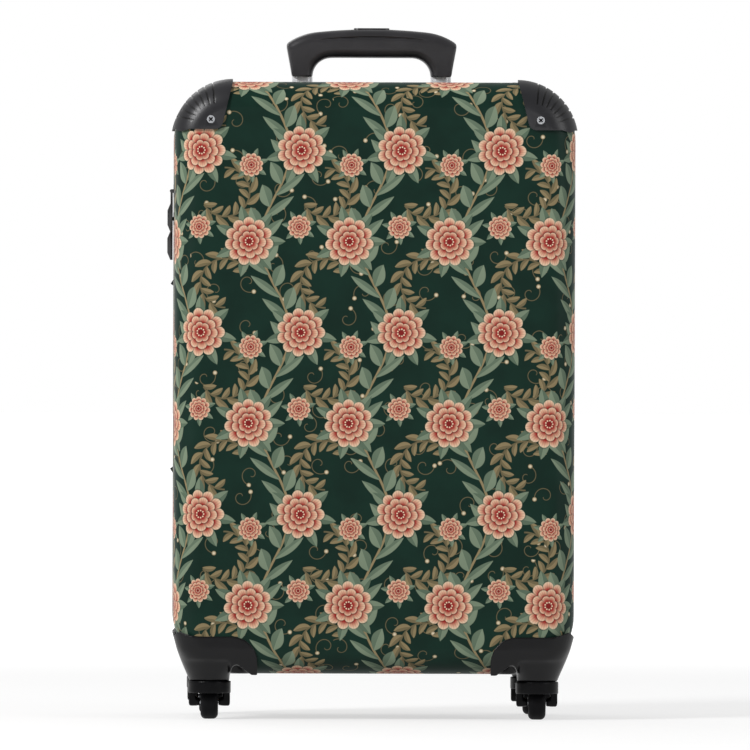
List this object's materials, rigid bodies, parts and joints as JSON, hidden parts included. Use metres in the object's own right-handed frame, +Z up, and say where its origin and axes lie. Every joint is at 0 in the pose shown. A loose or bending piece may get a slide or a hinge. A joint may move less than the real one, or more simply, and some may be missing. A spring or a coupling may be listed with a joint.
{
  "type": "suitcase",
  "caption": "Upright hard-shell cabin suitcase with a printed flower shell, corner guards, zip, hinged halves, swivelling casters and a telescopic trolley handle.",
  "frame": {"origin": "on the floor under the middle of the case", "axes": "+X to the right of someone who faces the front, +Y to the back, +Z up"},
  "size_m": [0.3514, 0.2308, 0.5969],
  "materials": {
    "shell": "satin moulded plastic with a flower print",
    "lining": "plain woven polyester",
    "guard_plastic": "satin charcoal",
    "housing_plastic": "satin black",
    "screw_steel": "bright",
    "tube_aluminium": "anodised",
    "grip_plastic": "satin black",
    "zip_fabric": "woven",
    "zip_plastic": "matte",
    "slider_metal": "dark enamel",
    "hub_plastic": "matte grey",
    "tyre_rubber": "matte"
  },
  "bodies": {
    "back_half": {"back_shell": "shell", "back_lining": "lining", "corner_guard_back_left": "guard_plastic", "corner_guard_back_right": "guard_plastic", "back_guard_screws": "screw_steel", "wheel_housing_back_left": "housing_plastic", "wheel_housing_back_right": "housing_plastic", "zip_tape_back": "zip_fabric", "zip_coil_back": "zip_plastic", "hinge_tape_back": "zip_fabric", "handle_cup": "housing_plastic", "outer_tube_left": "tube_aluminium", "outer_tube_right": "tube_aluminium", "tube_foot": "housing_plastic", "packing_strap_left": "zip_fabric", "packing_strap_right": "zip_fabric", "buckle_socket": "zip_plastic", "buckle_plug": "zip_plastic"},
    "front_half": {"front_shell": "shell", "front_lining": "lining", "corner_guard_front_left": "guard_plastic", "corner_guard_front_right": "guard_plastic", "front_guard_screws": "screw_steel", "wheel_housing_front_left": "housing_plastic", "wheel_housing_front_right": "housing_plastic", "zip_tape_front": "zip_fabric", "zip_coil_front": "zip_plastic", "hinge_tape_front": "zip_fabric", "mesh_pocket": "zip_fabric"},
    "trolley": {"grip": "grip_plastic", "grip_cap": "grip_plastic", "inner_tube_left": "tube_aluminium", "inner_tube_right": "tube_aluminium", "tube_plugs": "housing_plastic"},
    "release_button": {"release_button": "grip_plastic"},
    "zip_slider_upper": {"zip_slider_upper": "slider_metal"},
    "zip_slider_lower": {"zip_slider_lower": "slider_metal"},
    "pull_tab_upper": {"pull_tab_upper": "zip_plastic"},
    "pull_tab_lower": {"pull_tab_lower": "zip_plastic"},
    "caster_front_left": {"fork_front_left": "housing_plastic", "swivel_pin_front_left": "screw_steel", "axle_front_left": "screw_steel"},
    "wheel_front_left": {"hub_front_left": "hub_plastic", "tyre_front_left": "tyre_rubber"},
    "caster_front_right": {"fork_front_right": "housing_plastic", "swivel_pin_front_right": "screw_steel", "axle_front_right": "screw_steel"},
    "wheel_front_right": {"hub_front_right": "hub_plastic", "tyre_front_right": "tyre_rubber"},
    "caster_back_left": {"fork_back_left": "housing_plastic", "swivel_pin_back_left": "screw_steel", "axle_back_left": "screw_steel"},
    "wheel_back_left": {"hub_back_left": "hub_plastic", "tyre_back_left": "tyre_rubber"},
    "caster_back_right": {"fork_back_right": "housing_plastic", "swivel_pin_back_right": "screw_steel", "axle_back_right": "screw_steel"},
    "wheel_back_right": {"hub_back_right": "hub_plastic", "tyre_back_right": "tyre_rubber"}
  },
  "joints": [
    {"name": "lid_hinge", "type": "hinge", "parent": "back_half", "child": "front_half", "pos_m": [0.1723, 0, 0.2935], "axis": [0, 0, 1], "range_deg": [0, 175]},
    {"name": "trolley_slide", "type": "slide", "parent": "back_half", "child": "trolley", "axis": [0, 0, 1], "range_m": [-0.0465, 0.33]},
    {"name": "button_press", "type": "slide", "parent": "trolley", "child": "release_button", "axis": [0, 0, -1], "range_m": [0, 0.0025], "stiffness_N_per_m": 300},
    {"name": "zip_upper_slide", "type": "slide", "parent": "back_half", "child": "zip_slider_upper", "axis": [0, 0, 1], "range_m": [0, 0.035]},
    {"name": "zip_lower_slide", "type": "slide", "parent": "back_half", "child": "zip_slider_lower", "axis": [0, 0, 1], "range_m": [-0.33, 0]},
    {"name": "pull_upper_swing", "type": "hinge", "parent": "zip_slider_upper", "child": "pull_tab_upper", "pos_m": [-0.1742, 0, 0.454], "axis": [0, 1, 0], "range_deg": [0, 170]},
    {"name": "pull_lower_swing", "type": "hinge", "parent": "zip_slider_lower", "child": "pull_tab_lower", "pos_m": [-0.1742, 0, 0.43], "axis": [0, 1, 0], "range_deg": [0, 120]},
    {"name": "swivel_front_left", "type": "hinge", "parent": "front_half", "child": "caster_front_left", "pos_m": [-0.1408, -0.0818, 0.033], "axis": [0, 0, 1], "continuous": true},
    {"name": "spin_front_left", "type": "hinge", "parent": "caster_front_left", "child": "wheel_front_left", "pos_m": [-0.1408, -0.0748, 0.015], "axis": [1, 0, 0], "continuous": true},
    {"name": "swivel_front_right", "type": "hinge", "parent": "front_half", "child": "caster_front_right", "pos_m": [0.1408, -0.0818, 0.033], "axis": [0, 0, 1], "continuous": true},
    {"name": "spin_front_right", "type": "hinge", "parent": "caster_front_right", "child": "wheel_front_right", "pos_m": [0.1408, -0.0748, 0.015], "axis": [1, 0, 0], "continuous": true},
    {"name": "swivel_back_left", "type": "hinge", "parent": "back_half", "child": "caster_back_left", "pos_m": [-0.1408, 0.0818, 0.033], "axis": [0, 0, 1], "continuous": true},
    {"name": "spin_back_left", "type": "hinge", "parent": "caster_back_left", "child": "wheel_back_left", "pos_m": [-0.1408, 0.0888, 0.015], "axis": [1, 0, 0], "continuous": true},
    {"name": "swivel_back_right", "type": "hinge", "parent": "back_half", "child": "caster_back_right", "pos_m": [0.1408, 0.0818, 0.033], "axis": [0, 0, 1], "continuous": true},
    {"name": "spin_back_right", "type": "hinge", "parent": "caster_back_right", "child": "wheel_back_right", "pos_m": [0.1408, 0.0888, 0.015], "axis": [1, 0, 0], "continuous": true}
  ]
}
